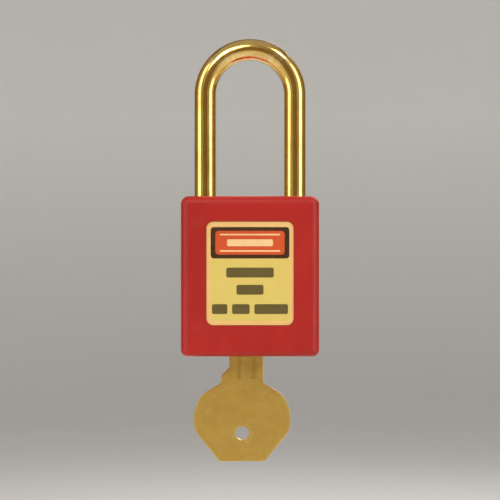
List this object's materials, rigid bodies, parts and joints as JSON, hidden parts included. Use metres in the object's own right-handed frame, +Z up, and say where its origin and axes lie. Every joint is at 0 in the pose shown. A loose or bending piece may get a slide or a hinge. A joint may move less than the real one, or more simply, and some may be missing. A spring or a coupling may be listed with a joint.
{
  "type": "safety padlock",
  "caption": "Compact keyed padlock with a red plastic body, a tall plated round shackle, pale front and back labels and a flat brass key in the bottom keyway.",
  "frame": {"origin": "inside top of the shackle bow, where a peg or hasp carries the lock", "axes": "+X to the right seen from the front, front faces -Y, +Z up along the shackle's legs"},
  "size_m": [0.038, 0.02, 0.1176],
  "materials": {
    "housing_red": "fine moulded satin",
    "label_film": "printed polyester film",
    "shackle_plating": "polished yellow plating",
    "key_brass": "tumbled brass",
    "cylinder_brass": "machined",
    "pin_brass": "turned",
    "cast_aluminium": "die cast",
    "cast_zinc_cam": "sintered",
    "ball_steel": "polished",
    "spring_steel": "drawn wire",
    "screw_steel": "zinc plated"
  },
  "bodies": {
    "case": {"body_shell": "housing_red", "bottom_cover": "housing_red", "front_label": "label_film", "back_label": "label_film", "lock_block": "cast_aluminium", "cylinder_shell": "cylinder_brass", "driver_pins": "pin_brass", "pin_springs": "spring_steel", "pin_chamber_cover": "pin_brass", "cylinder_retaining_screw": "screw_steel", "shackle_spring": "spring_steel", "shackle_stop_pin": "screw_steel"},
    "plug": {"plug": "cylinder_brass", "plug_retaining_clip": "spring_steel", "ball_cam": "cast_zinc_cam", "key_pin_1": "pin_brass", "key_pin_2": "pin_brass", "key_pin_3": "pin_brass", "key_pin_4": "pin_brass", "key_pin_5": "pin_brass", "key_pin_6": "pin_brass"},
    "key": {"key": "key_brass"},
    "shackle": {"shackle": "shackle_plating"},
    "ball_heel": {"locking_ball_heel": "ball_steel"},
    "ball_toe": {"locking_ball_toe": "ball_steel"}
  },
  "joints": [
    {"name": "plug_turn", "type": "hinge", "parent": "case", "child": "plug", "pos_m": [0, 0, -0.0815], "axis": [0, 0, 1], "range_deg": [0, 90]},
    {"name": "key_slide", "type": "slide", "parent": "plug", "child": "key", "axis": [0, 0, -1], "range_m": [0, 0.027]},
    {"name": "shackle_lift", "type": "slide", "parent": "case", "child": "shackle", "axis": [0, 0, 1], "range_m": [0, 0.011], "deforming": ["shackle_spring"]},
    {"name": "ball_heel_slide", "type": "slide", "parent": "case", "child": "ball_heel", "axis": [1, 0, 0], "range_m": [0, 0.0034]},
    {"name": "ball_toe_slide", "type": "slide", "parent": "case", "child": "ball_toe", "axis": [-1, 0, 0], "range_m": [0, 0.0034]}
  ],
  "couplings": [
    {"joint": "plug_turn", "follows": "shackle_lift", "rad_per_m": 142.8},
    {"joint": "ball_heel_slide", "follows": "shackle_lift", "ratio": 0.309},
    {"joint": "ball_toe_slide", "follows": "shackle_lift", "ratio": 0.309}
  ]
}
